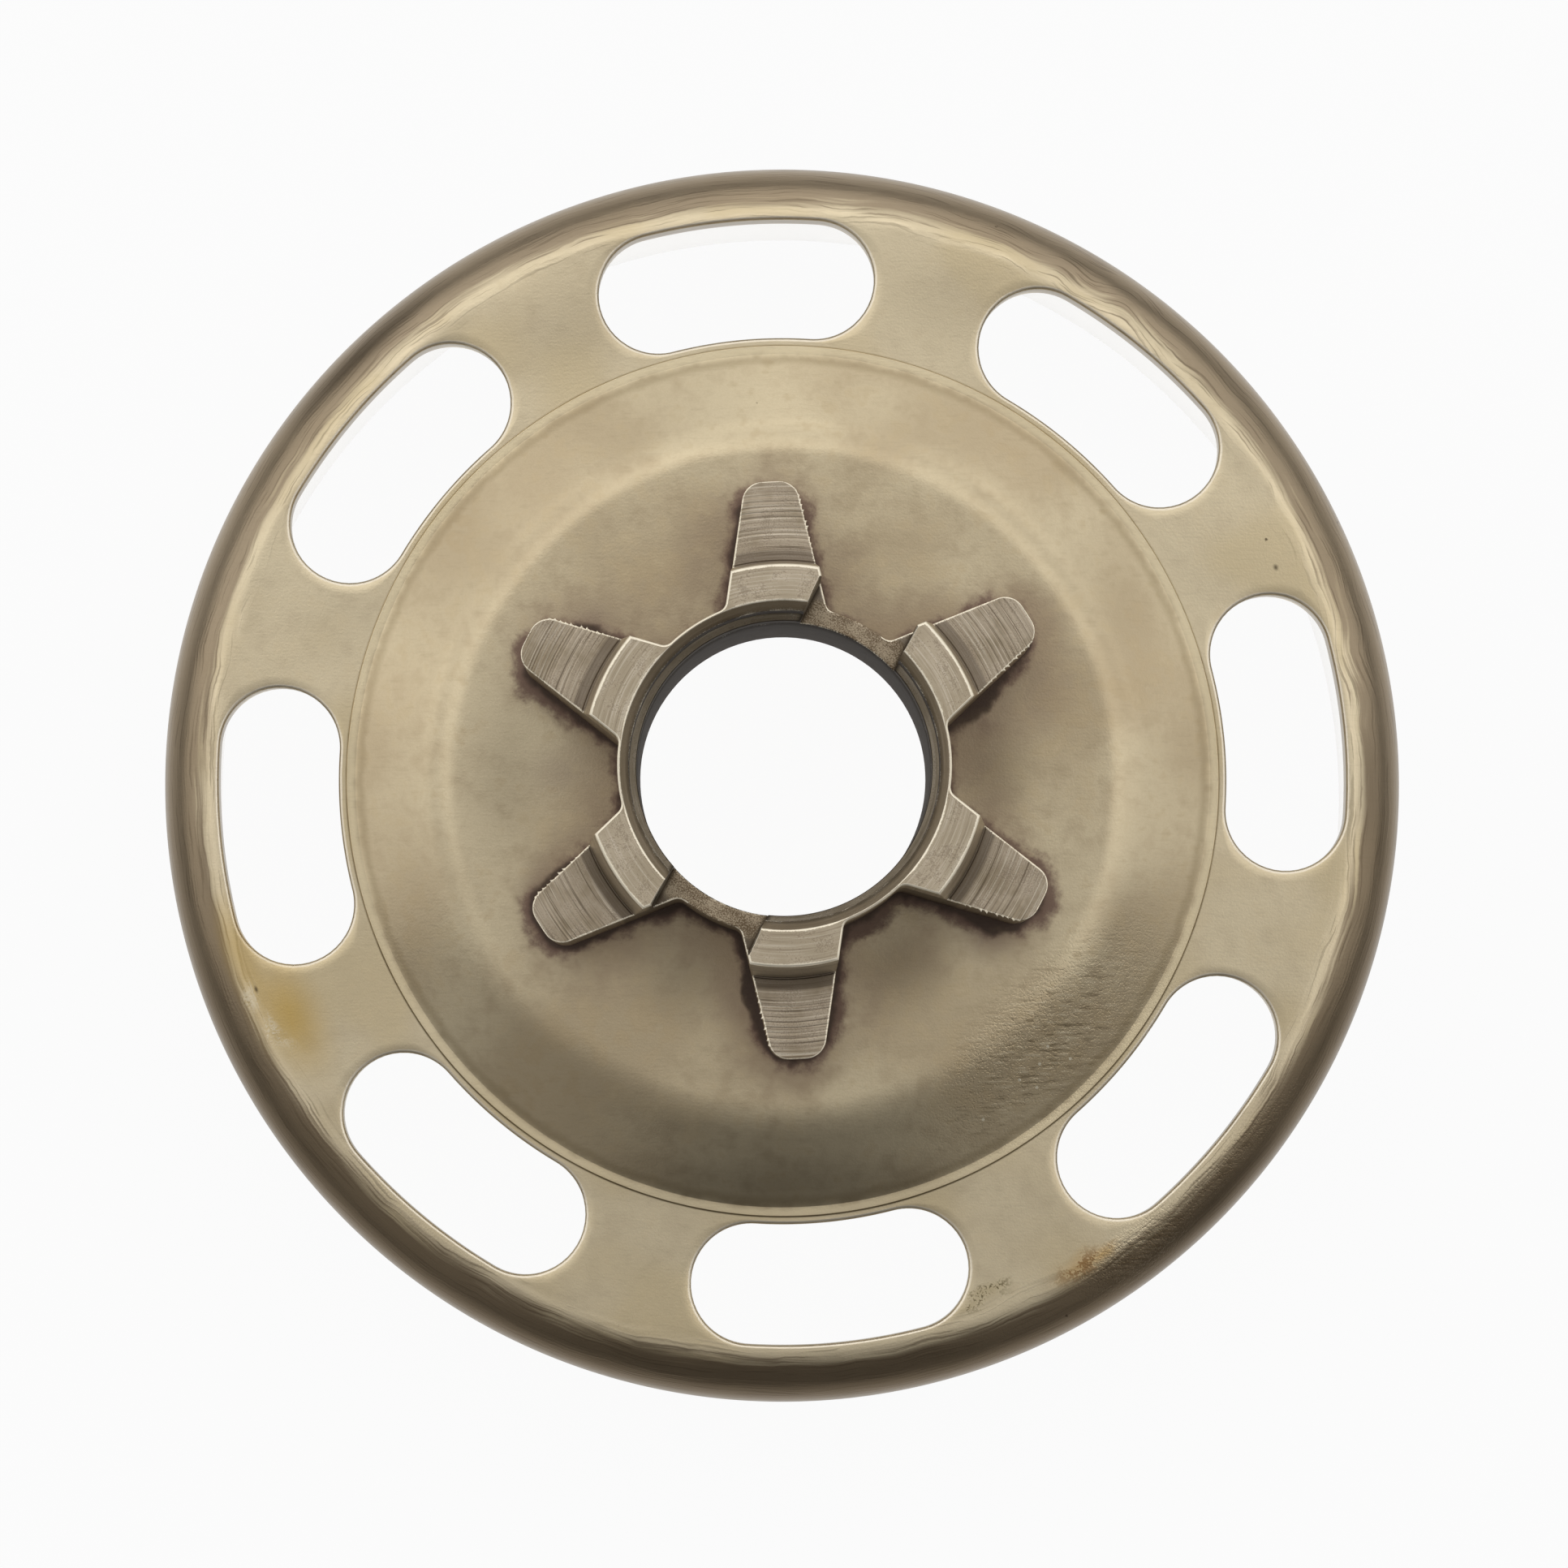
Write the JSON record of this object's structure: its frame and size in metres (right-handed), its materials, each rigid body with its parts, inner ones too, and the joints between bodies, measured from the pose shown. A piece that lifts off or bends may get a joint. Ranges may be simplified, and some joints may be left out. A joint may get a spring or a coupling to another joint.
{
  "type": "clutch drum sprocket",
  "caption": "Steel clutch drum of a small chain saw: a drawn cup with curved slots in its web and a brazed spur sprocket that drives the chain and, by a slotted ring, the oil pump.",
  "frame": {"origin": "on the axis, in the plane of the drum's open rim", "axes": "+Z along the axis towards the sprocket's ring, +Y along the slot across the ring"},
  "size_m": [0.0654, 0.0654, 0.0289],
  "materials": {
    "cup_steel": "satin, nitrided khaki grey",
    "sprocket_steel": "turned, hardened grey brown"
  },
  "bodies": {
    "root": {"drum_cup": "cup_steel", "sprocket": "sprocket_steel"}
  },
  "joints": []
}
